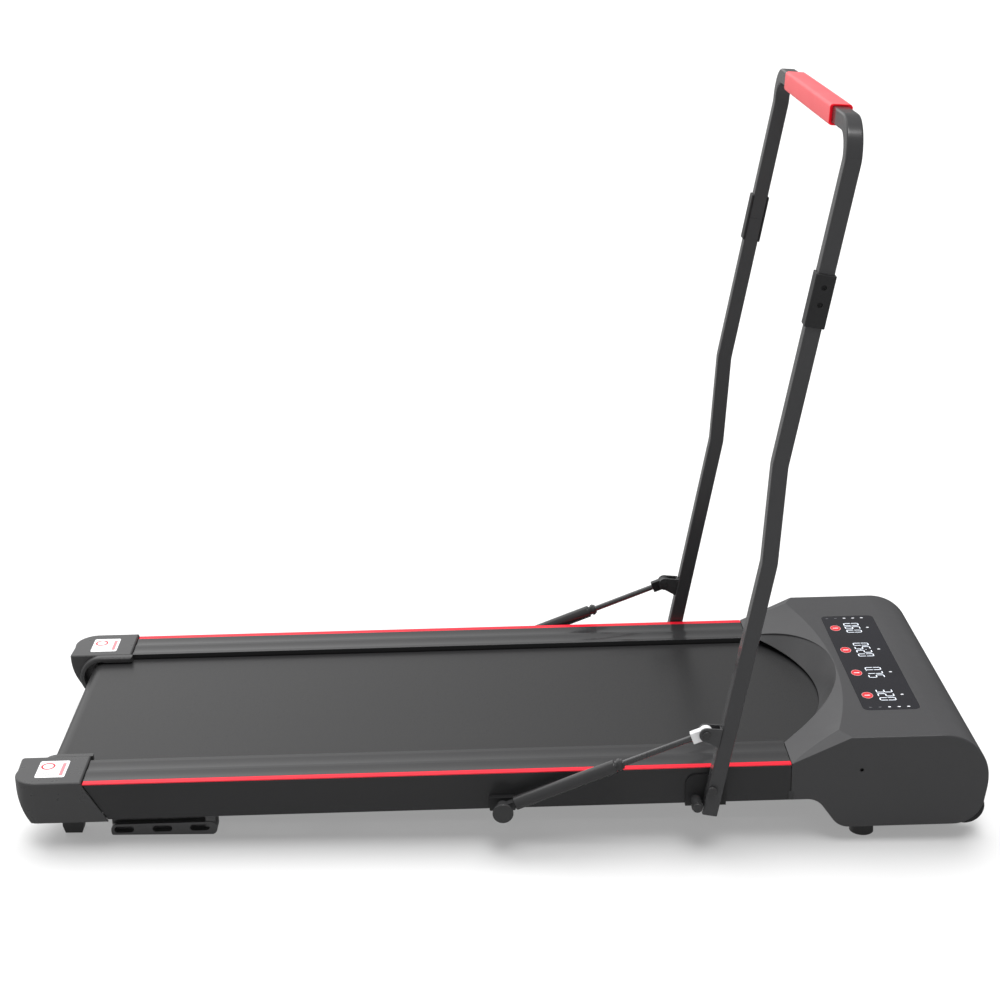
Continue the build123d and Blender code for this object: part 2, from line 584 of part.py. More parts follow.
def console_window():
    """Dark display window, flush with the top of the hood."""
    outline = rect(WINDOW_REAR, WINDOW_FRONT, -WINDOW_HALF_WIDTH, WINDOW_HALF_WIDTH, WINDOW_CORNER)
    return extrude(Pos(0, 0, HOOD_TOP - WINDOW_THICKNESS) * outline, WINDOW_THICKNESS)


def display_board():
    """Display circuit board with four digit modules under the window."""
    board = block(1042, 1102, -150, 150, 119, 120.6)
    modules = [block(1060, 1083, y - 20, y + 20, 120.6, 125.8) for y in (112, 37, -39, -112)]
    return group(board, *modules)


def power_inlet():
    """Three-pin mains inlet in the hood's nose."""
    flange = block(1180, 1186, -150, -114, 31, 59)
    body = block(1158, 1180, -146, -118, 34, 56)
    socket = block(1164, 1187, -143, -121, 37, 53)
    inlet = flange + body - socket
    for y in (-139, -132, -125):
        inlet += block(1162, 1180, y - 1, y + 1, 42, 47)
    return inlet


def switch_housing():
    """Frame of the rocker power switch."""
    housing = block(1158, 1186, -108, -88, 31, 59) - block(1161, 1187, -105.5, -90.5, 33.5, 56.5)
    for low in (-108, -90.5):
        housing += disc(1180, 45, 3.5, low, low + 2.5)
    return housing


def power_switch():
    """Rocker of the power switch."""
    face = polygon((1172, 35.5), (1184.5, 35.5), (1182.6, 45), (1184.5, 54.5), (1172, 54.5))
    rocker = across(face, -105, -91)
    return fillet(rocker.edges().filter_by(Axis.Y).group_by(Axis.X)[-1], 1.2)


# ---------------------------------------------------------------- feet and transport wheels
def transport_wheel():
    """Left transport wheel with a rounded tread and a recessed hub."""
    low = WHEEL_Y - WHEEL_WIDTH / 2
    wheel = disc(WHEEL_X, WHEEL_Z, WHEEL_RADIUS, low, low + WHEEL_WIDTH)
    wheel = fillet(wheel.edges().filter_by(GeomType.CIRCLE), 1.6)
    recess = Pos(WHEEL_X, WHEEL_Z) * (Circle(18) - Circle(8))
    wheel -= across(recess, low - 1, low + 3)
    wheel -= across(recess, low + WHEEL_WIDTH - 3, low + WHEEL_WIDTH + 1)
    return wheel - disc(WHEEL_X, WHEEL_Z, WHEEL_AXLE_RADIUS + BEARING_GAP, low - 5, low + 30)


def wheel_axles():
    """Wheel axles, fixed in the cheek plates of the side members."""
    axle = disc(WHEEL_X, WHEEL_Z, WHEEL_AXLE_RADIUS, 183, 211)
    return both(chamfer(axle.edges().filter_by(GeomType.CIRCLE), 0.6))


def front_feet():
    """Round rubber feet under the hood, longer than needed: place() trims them to the floor."""
    cone = Pos(1028, 200, -24) * Cone(16.8, 15.0, 40)
    cone = cone & block(1000, 1060, 170, 230, -40, -4.0)
    stem = Pos(1028, 200, -5) * Cylinder(6, FRAME_LOW + 5, align=(Align.CENTER, Align.CENTER, Align.MIN))
    return both(cone + stem)


def rear_feet():
    """Small rubber feet under the rear foot plate, tapered towards the floor."""
    outline = polygon((-36, -12), (-18, -12), (-13.7, 6), (-13.7, 40.5), (-41.5, 40.5), (-41.5, 6))
    return both(across(outline, 170, 190))


def foot_bars():
    """Long slotted rubber feet with a set-back block and a lug up to the side members."""
    outline = rect(24, 165, -8.8, 10, 8)
    for slot_x in (41, 92, 142):
        outline -= Pos(slot_x, 2) * SlotOverall(26, 9)
    bar = across(outline, 186, 197)
    bar += across(rect(24, 165, -8.8, FRAME_LOW, 8) + rect(24, 165, 20, FRAME_LOW), 176, 186)
    bar += across(rect(150, 163, 2, FRAME_LOW), 186, 196)
    return both(bar)


# ---------------------------------------------------------------- handrail hinge
def pivot_bracket():
    """Plate on the side frame that carries the pivot bolt and the stop bolt."""
    plate = rect(785.5, 839, 37, 82, 14) + rect(785.5, 839, 37, 60, 1.5)
    bracket = across(plate, DECK_HALF_WIDTH, DECK_HALF_WIDTH + 3)
    return bracket + block(785.5, 839, 205, DECK_HALF_WIDTH + 3, 37, 40)


def pivot_bolts():
    """Handrail pivot bolts: shank through the tube, washer and domed head outside it."""
    start = DECK_HALF_WIDTH + 3
    bolt = disc(PIVOT[0], PIVOT[1], 3.0, start, RAIL_OUTSIDE + 0.5)
    bolt += disc(PIVOT[0], PIVOT[1], 6.6, RAIL_OUTSIDE + 0.3, RAIL_OUTSIDE + 4.8)
    crown = bolt.faces().sort_by(Axis.Y)[-1]
    bolt = fillet(crown.edges(), 1.4)
    return both(bolt)


def stop_bolts():
    """Stop bolts with the bush that the lower end of each upright rests against."""
    start = DECK_HALF_WIDTH + 3
    bolt = disc(STOP[0], STOP[1], 7.6, start, RAIL_OUTSIDE - 0.6)
    bolt += disc(STOP[0], STOP[1], 6.6, RAIL_OUTSIDE - 0.6, RAIL_OUTSIDE + 4.2)
    crown = bolt.faces().sort_by(Axis.Y)[-1]
    bolt = fillet(crown.edges(), 1.4)
    return both(bolt)


# ---------------------------------------------------------------- handrail
def rail_points():
    """Bend points of an upright's centre line in X and Z, from the foot to the cross bar."""
    first = point_up(RAIL_FOOT, LEAN, LOWER_RUN)
    second = point_up(first, STAND, MIDDLE_RUN)
    third = point_up(second, LEAN, UPPER_RUN)
    top = point_up(third, STAND, (CROSSBAR_Z - third[1]) / cos(radians(STAND)))
    return RAIL_FOOT, first, second, third, top


def joint_point():
    """Where the two tubes meet inside the sleeve."""
    second = rail_points()[2]
    return point_up(second, LEAN, (JOINT_Z - second[1]) / cos(radians(LEAN)))


def swept_tube(points, radii):
    """Square tube along a path of straight runs joined by arcs."""
    path = FilletPolyline(*points, radius=radii)
    heading = Vector(*points[1]) - Vector(*points[0])
    side = Vector(0, 1, 0)
    section = Plane(origin=points[0], x_dir=side, z_dir=heading)
    skin = sweep(section * RectangleRounded(TUBE, TUBE, TUBE_CORNER), path=path)
    bore_width = TUBE - 2 * TUBE_WALL
    bore = sweep(section * RectangleRounded(bore_width, bore_width, TUBE_CORNER - TUBE_WALL), path=path)
    return skin - bore


def lower_upright():
    """Left lower upright: square tube with two shallow bends and the pivot hole."""
    foot, first, second, _, _ = rail_points()
    joint = joint_point()
    points = [(x, TUBE_Y, z) for x, z in (foot, first, second, joint)]
    tube = swept_tube(points, [BEND_RADIUS, BEND_RADIUS])
    return tube - disc(PIVOT[0], PIVOT[1], 3.0 + BEARING_GAP, 230, 270)


def upper_handrail():
    """U-shaped top of the handrail, one bent tube."""
    _, _, _, third, top = rail_points()
    joint = point_up(joint_point(), LEAN, 0.15)
    left = [(x, TUBE_Y, z) for x, z in (joint, third, top)]
    right = [(x, -y, z) for x, y, z in reversed(left)]
    bend = BEND_RADIUS
    return swept_tube(left + right, [bend, CORNER_RADIUS, CORNER_RADIUS, bend])


def joint_frame():
    """Axes at the tube joint: Z along the tube, X forward, Y to the left."""
    x, z = joint_point()
    run = Vector(sin(radians(LEAN)), 0, cos(radians(LEAN)))
    return Plane(origin=(x, TUBE_Y, z), x_dir=Vector(0, 1, 0).cross(run), z_dir=run)


def joint_sleeve():
    """C-shaped outer sleeve over the joint, open on the inner face."""
    width = TUBE + 2 * SLEEVE_WALL
    shell = Box(width, TUBE + SLEEVE_WALL, SLEEVE_LENGTH)
    shell = Pos(0, SLEEVE_WALL / 2, 0) * shell
    shell = fillet(shell.edges().filter_by(Axis.Z), 2.5)
    shell = chamfer(shell.edges().group_by(Axis.Z)[0] + shell.edges().group_by(Axis.Z)[-1], 0.6)
    shell -= Pos(0, -2.5, 0) * Box(TUBE + 0.1, TUBE + 5.1, SLEEVE_LENGTH + 2)
    for height in (-4, 17):
        shell -= Pos(0, TUBE / 2 + 2, height) * Rot(90, 0, 0) * Cylinder(3.2, 8)
    return joint_frame() * shell


def sleeve_screws():
    """Socket screws that clamp each sleeve to the tubes."""
    parts = []
    for height in (-4, 17):
        head = Pos(0, TUBE / 2 + 0.7, height) * Rot(90, 0, 0) * Cylinder(3.0, 1.2)
        head -= Pos(0, TUBE / 2 + 1.6, height) * Rot(90, 0, 0) * Cylinder(1.4, 2)
        parts.append(joint_frame() * head)
    return both(group(*parts))


def grip():
    """Padded grip on the cross bar."""
    x, z = rail_points()[4]
    outline = rect(x - GRIP_WIDTH / 2, x + GRIP_WIDTH / 2, z - GRIP_HEIGHT / 2, z + GRIP_HEIGHT / 2, 4.5)
    hole = rect(x - TUBE / 2 - 0.1, x + TUBE / 2 + 0.1, z - TUBE / 2 - 0.1, z + TUBE / 2 + 0.1, TUBE_CORNER)
    sleeve = Plane.XZ.offset(-GRIP_HALF_LENGTH) * outline
    body = extrude(sleeve, 2 * GRIP_HALF_LENGTH)
    tilt = Location((x, 0, z), (0, STAND, 0)) * Location((-x, 0, -z))
    bore = extrude(Plane.XZ.offset(-GRIP_HALF_LENGTH - 1) * hole, 2 * GRIP_HALF_LENGTH + 2)
    return tilt * (body - bore)


# ---------------------------------------------------------------- gas struts
def strut_frame():
    """Axes at a strut's lower pin: X along the strut, Y to the left."""
    heading = Vector(cos(radians(STRUT_ANGLE)), 0, sin(radians(STRUT_ANGLE)))
    side = Vector(0, 1, 0)
    return Plane(origin=(STRUT_FOOT[0], STRUT_Y, STRUT_FOOT[1]), x_dir=heading, z_dir=heading.cross(side))


def bar_x(radius, x0, x1):
    """A round bar along the strut."""
    return Pos(x0, 0, 0) * Rot(0, 90, 0) * Cylinder(radius, x1 - x0, align=(Align.CENTER, Align.CENTER, Align.MIN))


def strut_cylinder():
    """Left strut cylinder with its lower eye and the gland at its mouth."""
    body = bar_x(CYLINDER_RADIUS, 17, 157.5)
    body = fillet(body.edges().filter_by(GeomType.CIRCLE), 1.6)
    body += bar_x(6.6, 157.5, 168)
    body += bar_x(8.2, 161.5, 165.5)
    body += Pos(9, 0, 0) * Box(18, EYE_THICKNESS, 10)
    body -= bar_x(7.5, 21, 154)
    body -= bar_x(ROD_RADIUS + 0.08, 150, 170)
    half = EYE_THICKNESS / 2
    placed = strut_frame() * body
    placed += disc(STRUT_FOOT[0], STRUT_FOOT[1], 8.5, STRUT_Y - half, STRUT_Y + half)
    return placed - disc(STRUT_FOOT[0], STRUT_FOOT[1], PIN_RADIUS + 0.2, 230, 280)


def strut_rod():
    """Left strut rod with its piston."""
    rod = bar_x(ROD_RADIUS, 110, STRUT_LENGTH - 19.6)
    rod += bar_x(7.2, 110, 116)
    return strut_frame() * rod


def rod_end():
    """Bright end fitting of a strut's rod, bored for the clevis pin."""
    half = EYE_THICKNESS / 2
    side_view = Pos(STRUT_LENGTH, 0) * Circle(9) + rect(STRUT_LENGTH - 19.6, STRUT_LENGTH, -7.7, 7.7, 1.0)
    body = extrude(Plane.XZ.offset(-half) * side_view, EYE_THICKNESS)
    body = chamfer(body.faces().sort_by(Axis.Y)[-1].edges(), 0.6)
    return strut_frame() * body - disc(CLEVIS[0], CLEVIS[1], PIN_RADIUS + BEARING_GAP, 240, 270)


def strut_clevis():
    """Two-eared bracket behind the upright that holds the strut's end fitting."""
    run = Vector(sin(radians(LEAN)), 0, cos(radians(LEAN)))
    back = Vector(-cos(radians(LEAN)), 0, sin(radians(LEAN)))
    pin = Vector(CLEVIS[0], 0, CLEVIS[1])
    foot = Vector(RAIL_FOOT[0], 0, RAIL_FOOT[1])
    reach = (pin - foot).dot(back) - TUBE / 2
    seat = pin - back * reach
    corners = [pin + run * 9.3, seat + run * 11, seat - run * 15, pin - run * 7.0 + back * 4.0]
    ear = Pos(pin.X, pin.Z) * Circle(9.3) + polygon(*[(c.X, c.Z) for c in corners])
    inner = across(ear, CLEVIS_INNER, 249.0)
    outer = across(ear, 259.2, CLEVIS_OUTER)
    web_corners = [seat + run * 10, seat - run * 15, seat - run * 15 + back * 2.4, seat + run * 10 + back * 2.4]
    web = across(polygon(*[(c.X, c.Z) for c in web_corners]), CLEVIS_INNER, CLEVIS_OUTER)
    return inner + outer + web - disc(CLEVIS[0], CLEVIS[1], PIN_RADIUS, 240, 270)


def clevis_pins():
    """Clevis pins with a domed head outside and a clip inside."""
    pin = disc(CLEVIS[0], CLEVIS[1], PIN_RADIUS, CLEVIS_INNER - 2.2, CLEVIS_OUTER + 0.2)
    pin += disc(CLEVIS[0], CLEVIS[1], 5.0, CLEVIS_INNER - 2.2, CLEVIS_INNER)
    head = disc(CLEVIS[0], CLEVIS[1], 5.4, CLEVIS_OUTER, CLEVIS_OUTER + 2.6)
    head = fillet(head.faces().sort_by(Axis.Y)[-1].edges(), 1.2)
    return both(pin + head)


def strut_bosses():
    """Bosses on the side frame with a strap below each strut eye that carries the outer pin."""
    x, z = STRUT_FOOT
    boss = across(rect(x - 17, x + 17, z - 9.5, z + 9.5, 2.0), DECK_HALF_WIDTH, 244)
    strap = across(rect(x - 6, x + 6, z - 13, z - 10.2), DECK_HALF_WIDTH, STRAP_FACE + 2.2)
    ear = across(rect(x - 6, x + 6, z - 13, z + 6, 2.0), STRAP_FACE, STRAP_FACE + 2.2)
    root = across(rect(x - 6, x + 6, z - 13, z - 5), DECK_HALF_WIDTH, 240)
    return both(boss + root + strap + ear)


def strut_pins():
    """Lower strut pins in two halves, one on each side of the eye, and their round knobs."""
    x, z = STRUT_FOOT
    half = EYE_THICKNESS / 2 + RUN_GAP
    inner = disc(x, z, PIN_RADIUS, 244, STRUT_Y - half)
    outer = disc(x, z, PIN_RADIUS, STRUT_Y + half, STRAP_FACE)
    knob = disc(x, z, KNOB_RADIUS, STRAP_FACE + 2.2, 270.6)
    knob = fillet(knob.edges().filter_by(GeomType.CIRCLE), 1.3)
    return both(group(inner, outer, knob))


def hood_screws():
    """Screws that hold the hood's side skirts, sunk below the surface."""
    screw = disc(HOOD_SCREW[0], HOOD_SCREW[1], 1.8, FRAME_OUTER, 232.6)
    screw += disc(HOOD_SCREW[0], HOOD_SCREW[1], 2.4, 230.6, 232.6)
    return both(screw)


# ---------------------------------------------------------------- assembly
def deck_parts():
    """Every node in deck axes."""
    parts = {
        "cross_members": cross_members(),
        "deck_board": deck_board(),
        "deck_cushions": deck_cushions(),
        "cap_labels": cap_labels(),
        "running_belt": running_belt(),
        "roller_axles": roller_axles(),
        "tension_bolts": tension_bolts(),
        "front_roller": roller(FRONT_ROLLER_X, BELT_HALF_WIDTH - 0.5),
        "front_bearings": bearings(FRONT_ROLLER_X, BELT_HALF_WIDTH - 0.5),
        "roller_pulley": roller_pulley(),
        "rear_roller": roller(REAR_ROLLER_X, BELT_HALF_WIDTH - 0.5),
        "rear_bearings": bearings(REAR_ROLLER_X, BELT_HALF_WIDTH - 0.5),
        "motor_can": motor_can(),
        "motor_bracket": motor_bracket(),
        "motor_shaft": motor_shaft(),
        "motor_pulley": motor_pulley(),
        "drive_belt": drive_belt(),
        "motor_controller": motor_controller(),
        "motor_hood": motor_hood(),
        "belly_pan": belly_pan(),
        "console_window": console_window(),
        "display_board": display_board(),
        "power_inlet": power_inlet(),
        "switch_housing": switch_housing(),
        "power_switch": power_switch(),
        "hood_screws": hood_screws(),
        "rail_stripes": both(rail_stripe()),
        "wheel_brackets": both(wheel_bracket()),
        "wheel_axles": wheel_axles(),
        "pivot_brackets": both(pivot_bracket()),
        "pivot_bolts": pivot_bolts(),
        "stop_bolts": stop_bolts(),
        "upper_handrail": upper_handrail(),
        "sleeve_screws": sleeve_screws(),
        "grip": grip(),
        "strut_clevises": both(strut_clevis()),
        "clevis_pins": clevis_pins(),
        "strut_bosses": strut_bosses(),
        "strut_pins": strut_pins(),
    }
    handed = {
        "side_frame": side_frame,
        "side_rail": foot_rail,
        "rear_cap": rear_cap,
        "transport_wheel": transport_wheel,
        "lower_upright": lower_upright,
        "joint_sleeve": joint_sleeve,
        "strut_cylinder": strut_cylinder,
        "strut_rod": strut_rod,
        "rod_end": rod_end,
    }
    for name, make in handed.items():
        left = make()
        for side, sign in SIDES:
            parts[f"{name}_{side}"] = on_side(left, sign)
    return parts


def feet_parts():
    """Nodes that stand on the floor and are trimmed to it."""
    return {"front_feet": front_feet(), "rear_feet": rear_feet(), "foot_bars": foot_bars()}


def row_shift():
    """How far the tipped deck moves to stand on the floor, centred over the origin."""
    tipped_rear = CAP_REAR * cos(radians(INCLINE)) - CAP_TOP * sin(radians(INCLINE))
    tipped_front = WHEEL_X * cos(radians(INCLINE)) - WHEEL_Z * sin(radians(INCLINE)) + WHEEL_RADIUS
    return Vector(-(tipped_rear + tipped_front) / 2, 0, -FLOOR_AT_REAR * cos(radians(INCLINE)))


def place(part):
    """Move a part from deck axes to the row frame."""
    shift = row_shift()
    return Location((shift.X, shift.Y, shift.Z), (0, -INCLINE, 0)) * part


def row_point(x, y, z):
    """A point given in deck axes, in the row frame."""
    shift = row_shift()
    tip = radians(INCLINE)
    return (x * cos(tip) - z * sin(tip) + shift.X, y, x * sin(tip) + z * cos(tip) + shift.Z)


def trimmed_to_floor(part):
    """The part above the floor, in the row frame."""
    above = Pos(0, 0, 500) * Box(3000, 1000, 1000)
    return group(*[place(solid) & above for solid in part.solids()])


def main():
    os.makedirs("parts", exist_ok=True)
    nodes = {name: place(part) for name, part in deck_parts().items()}
    nodes.update({name: trimmed_to_floor(part) for name, part in feet_parts().items()})
    for name, part in nodes.items():
        export_step(part, f"parts/{name}.step")
    print(len(nodes), "nodes written")


if __name__ == "__main__":
    main()
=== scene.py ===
import json
from math import cos, pi, radians, sin

import bmesh
import bpy
from mathutils import Matrix, Vector


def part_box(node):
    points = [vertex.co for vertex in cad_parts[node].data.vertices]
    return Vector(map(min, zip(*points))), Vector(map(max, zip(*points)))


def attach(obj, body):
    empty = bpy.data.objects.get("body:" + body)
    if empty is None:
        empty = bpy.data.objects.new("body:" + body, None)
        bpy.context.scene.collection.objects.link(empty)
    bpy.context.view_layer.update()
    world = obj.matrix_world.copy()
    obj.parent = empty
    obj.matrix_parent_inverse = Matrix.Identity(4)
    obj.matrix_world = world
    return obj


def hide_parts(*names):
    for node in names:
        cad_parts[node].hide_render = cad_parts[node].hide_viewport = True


# Looks for the folding walking-pad treadmill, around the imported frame. Places are in the frame's metres
# or in "deck axes": millimetres measured along the tipped deck, X forward from the rear end of the foot
# rails, Y to the user's left, Z square to the deck. on_deck() turns the second into the first.

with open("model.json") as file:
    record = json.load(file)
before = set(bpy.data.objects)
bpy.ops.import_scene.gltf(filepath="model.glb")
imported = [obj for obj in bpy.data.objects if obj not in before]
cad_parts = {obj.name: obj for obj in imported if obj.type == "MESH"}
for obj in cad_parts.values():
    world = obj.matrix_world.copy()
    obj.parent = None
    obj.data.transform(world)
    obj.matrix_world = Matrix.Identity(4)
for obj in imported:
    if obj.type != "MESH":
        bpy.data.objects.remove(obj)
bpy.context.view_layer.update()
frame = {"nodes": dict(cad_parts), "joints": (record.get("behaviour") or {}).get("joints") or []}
nodes = frame["nodes"]

MM = 0.001
MICRON = 0.000001
SIDES = (("left", 1), ("right", -1))     # name, and sign of Y

INCLINE = radians(1.28)          # the deck's tip, front end up
PIVOT = (818.0, 69.5)            # the handrail's pivot in deck axes, X and Z
WINDOW_TOP = 128.0               # top of the console window, in deck axes
LABEL_TOP = 95.75                # top of the rear caps' labels, in deck axes

CAMERA_PLACE = (-0.0575, -2.3926, 1.2611)
CAMERA_DOWN = radians(19.76)
CAMERA_YAW = radians(1.32)
CAMERA_ROLL = radians(0.13)
CAMERA_LENS = 66.92              # millimetres, on the sensor below
CAMERA_SENSOR = 36.0

FLOOR_REACH = 40.0               # metres from the middle to each edge
SKY_REAR = 0.95                  # strength of the sky's far half, behind the deck's rear end
SKY_FRONT = 0.22                 # strength of the sky's far half, ahead of the hood
SKY_NEAR = 0.20                  # strength of the sky's near half
SKY_BELOW = 0.4                  # what is left of the far half below the horizon, as a part
SKY_ALONG = (-0.22, 0.20)        # X of the sky's direction, from all rear to all front
SKY_ACROSS = (-0.1, 0.3)         # Y of the sky's direction, from all near to all far
SKY_RISE = (-0.1, 0.1)           # Z of the sky's direction, from below to above the horizon
# name, energy, degrees across, degrees tipped about X and about Y, and whether reflections show it
SUNS = (
    ("sun", 3.6, 60, -20, -2, False),
    ("edge_sun", 1.1, 26, 20, 2, True),
)


# ---------------------------------------------------------------- places
def joint_place(name):
    """Where a joint's axis is, from the frame."""
    return Vector(next(joint for joint in frame["joints"] if joint["name"] == name)["pos_m"])


def on_deck(x, y, z):
    """A point in deck axes, in the frame's metres."""
    pivot = joint_place("handrail_fold")
    along = (x - PIVOT[0]) / 1000
    up = (z - PIVOT[1]) / 1000
    return Vector((
        pivot.x + along * cos(INCLINE) - up * sin(INCLINE),
        y / 1000,
        pivot.z + along * sin(INCLINE) + up * cos(INCLINE),
    ))


# ---------------------------------------------------------------- material tools
EDGE_SAMPLES = 6
COAT_ROUGHNESS = 0.08
DRAWN_STRETCH = 0.03             # a drawn metal's lines are about 30 times longer than wide


def new_material(name):
    """An empty node material with its shader."""
    material = bpy.data.materials.new(name)
    material.use_nodes = True
    return material, material.node_tree, material.node_tree.nodes["Principled BSDF"]


def coordinates(tree, stretch=(1.0, 1.0, 1.0)):
    """Object coordinates in metres, optionally stretched."""
    source = tree.nodes.new("ShaderNodeTexCoord")
    mapping = tree.nodes.new("ShaderNodeMapping")
    mapping.inputs["Scale"].default_value = stretch
    tree.links.new(source.outputs["Object"], mapping.inputs["Vector"])
    return mapping.outputs["Vector"]


def noise(tree, place, scale, detail=3.0, roughness=0.5):
    """Noise value at a scale in repeats per metre."""
    node = tree.nodes.new("ShaderNodeTexNoise")
    node.inputs["Scale"].default_value = scale
    node.inputs["Detail"].default_value = detail
    node.inputs["Roughness"].default_value = roughness
    tree.links.new(place, node.inputs["Vector"])
    return node.outputs["Fac"]


def cells(tree, place, scale, feature="F1"):
    """Voronoi distance at a scale in cells per metre."""
    node = tree.nodes.new("ShaderNodeTexVoronoi")
    node.feature = feature
    node.inputs["Scale"].default_value = scale
    tree.links.new(place, node.inputs["Vector"])
    return node.outputs["Distance"]


def remap(tree, value, low, high, from_low=0.3, from_high=0.7):
    """A value spread over a new range."""
    node = tree.nodes.new("ShaderNodeMapRange")
    node.inputs["From Min"].default_value = from_low
    node.inputs["From Max"].default_value = from_high
    node.inputs["To Min"].default_value = low
    node.inputs["To Max"].default_value = high
    tree.links.new(value, node.inputs["Value"])
    return node.outputs["Result"]


def blend_colours(tree, value, low, high, from_low=0.35, from_high=0.65):
    """A colour between two, by a value."""
    ramp = tree.nodes.new("ShaderNodeValToRGB")
    ramp.color_ramp.elements[0].position = from_low
    ramp.color_ramp.elements[0].color = (*low, 1.0)
    ramp.color_ramp.elements[1].position = from_high
    ramp.color_ramp.elements[1].color = (*high, 1.0)
    tree.links.new(value, ramp.inputs["Fac"])
    return ramp.outputs["Color"]


def maths(tree, operation, a, b):
    """One arithmetic step on two values, either of which may be a number."""
    node = tree.nodes.new("ShaderNodeMath")
    node.operation = operation
    for socket, value in zip(node.inputs, (a, b)):
        if isinstance(value, (int, float)):
            socket.default_value = value
        else:
            tree.links.new(value, socket)
    return node.outputs["Value"]


def bump(tree, shader, height, depth, edge=0.0):
    """Surface relief of a depth in metres, over edges softened by a radius in metres."""
    node = tree.nodes.new("ShaderNodeBump")
    node.inputs["Strength"].default_value = 1.0
    node.inputs["Distance"].default_value = depth
    tree.links.new(height, node.inputs["Height"])
    if edge:
        bevel = tree.nodes.new("ShaderNodeBevel")
        bevel.samples = EDGE_SAMPLES
        bevel.inputs["Radius"].default_value = edge
        tree.links.new(bevel.outputs["Normal"], node.inputs["Normal"])
    tree.links.new(node.outputs["Normal"], shader.inputs["Normal"])


def scaled(colour, factor):
    """A colour made lighter or darker."""
    return tuple(channel * factor for channel in colour)


def coated(name, colour, roughness, grain_microns, grain_scale, coat=0.0, edge_mm=0.6, spread=0.06):
    """Paint or moulded plastic: fine grain, slight mottling and uneven gloss over softened edges.

    grain_scale is in repeats per metre, and spread is how far the mottling varies the colour, as a part.
    """
    material, tree, shader = new_material(name)
    place = coordinates(tree)
    mottle = noise(tree, place, scale=6.0)
    dark, pale = scaled(colour, 1 - spread), scaled(colour, 1 + spread)
    colour_out = blend_colours(tree, mottle, dark, pale, from_low=0.2, from_high=0.8)
    tree.links.new(colour_out, shader.inputs["Base Color"])
    smear = noise(tree, place, scale=35.0, detail=4.0, roughness=0.6)
    tree.links.new(remap(tree, smear, roughness - 0.02, roughness + 0.03), shader.inputs["Roughness"])
    grain = noise(tree, place, grain_scale, detail=2.0)
    bump(tree, shader, grain, grain_microns * MICRON, edge_mm * MM)
    if coat:
        shader.inputs["Coat Weight"].default_value = coat
        shader.inputs["Coat Roughness"].default_value = COAT_ROUGHNESS
    return material


def metal(name, colour, roughness):
    """Bright metal with fine drawn or turned lines along Y."""
    material, tree, shader = new_material(name)
    shader.inputs["Metallic"].default_value = 1.0
    lines = noise(tree, coordinates(tree, (1.0, DRAWN_STRETCH, 1.0)), scale=1800.0)
    cloud = noise(tree, coordinates(tree), scale=40.0, detail=4.0)
    colour_out = blend_colours(tree, cloud, scaled(colour, 0.86), scaled(colour, 1.05))
    tree.links.new(colour_out, shader.inputs["Base Color"])
    tree.links.new(remap(tree, lines, roughness - 0.06, roughness + 0.1), shader.inputs["Roughness"])
    bump(tree, shader, lines, 20 * MICRON, 0.4 * MM)
    return material


def belt_material():
    """Running belt: smooth PVC with a very fine stipple, and broad, hardly paler patches of wear."""
    material, tree, shader = new_material("belt_surface")
    stipple = noise(tree, coordinates(tree), scale=1400.0, detail=2.0)
    wear = noise(tree, coordinates(tree, (0.5, 1.4, 1.0)), scale=2.2, detail=2.0, roughness=0.4)
    fresh, worn = (0.0205, 0.0205, 0.021), (0.0225, 0.0225, 0.023)
    colour_out = blend_colours(tree, wear, fresh, worn, from_low=0.2, from_high=0.8)
    tree.links.new(colour_out, shader.inputs["Base Color"])
    tree.links.new(remap(tree, stipple, 0.27, 0.33), shader.inputs["Roughness"])
    bump(tree, shader, stipple, 3 * MICRON)
    return material


def foam_material():
    """Closed-cell foam skin: small pores and slightly uneven, bright colour, with a faint glow in the same
    colour that is painted light.
    """
    material, tree, shader = new_material("grip_foam_painted_glow")
    place = coordinates(tree)
    mottle = noise(tree, place, scale=25.0)
    deep, pale = (0.94, 0.115, 0.13), (1.0, 0.145, 0.16)
    colour_out = blend_colours(tree, mottle, deep, pale, from_low=0.2, from_high=0.8)
    tree.links.new(colour_out, shader.inputs["Base Color"])
    # The glow in the foam's own colour is painted light that brightens the whole grip.
    tree.links.new(colour_out, shader.inputs["Emission Color"])
    shader.inputs["Emission Strength"].default_value = 0.12
    pores = cells(tree, place, scale=900.0)
    fine = noise(tree, place, scale=2600.0, detail=2.0)
    gloss = remap(tree, pores, 0.30, 0.40, from_low=0.0, from_high=0.6)
    tree.links.new(gloss, shader.inputs["Roughness"])
    bump(tree, shader, maths(tree, "ADD", pores, maths(tree, "MULTIPLY", fine, 0.4)), 20 * MICRON)
    return material


def window_material():
    """Smoked gloss window with faint swirl marks and dust."""
    material, tree, shader = new_material("smoked_window")
    swirl = noise(tree, coordinates(tree, (1.0, 0.12, 1.0)), scale=420.0)
    cloud = noise(tree, coordinates(tree), scale=12.0, detail=4.0)
    smoke, dust = (0.016, 0.016, 0.019), (0.020, 0.020, 0.024)
    colour_out = blend_colours(tree, cloud, smoke, dust, from_low=0.2, from_high=0.8)
    tree.links.new(colour_out, shader.inputs["Base Color"])
    tree.links.new(remap(tree, swirl, 0.16, 0.22), shader.inputs["Roughness"])
    shader.inputs["Specular IOR Level"].default_value = 0.3
    bump(tree, shader, cloud, 10 * MICRON)
    return material


def lit_material(name, colour, glow):
    """Print, lamp or cut foam: an even colour that may glow, with slight unevenness. On the cut foam the
    glow is painted light.
    """
    material, tree, shader = new_material(name)
    patch = noise(tree, coordinates(tree), scale=300.0, detail=2.0)
    colour_out = blend_colours(tree, patch, scaled(colour, 0.88), colour)
    tree.links.new(colour_out, shader.inputs["Base Color"])
    tree.links.new(colour_out, shader.inputs["Emission Color"])
    shader.inputs["Emission Strength"].default_value = glow
    shader.inputs["Roughness"].default_value = 0.35
    return material


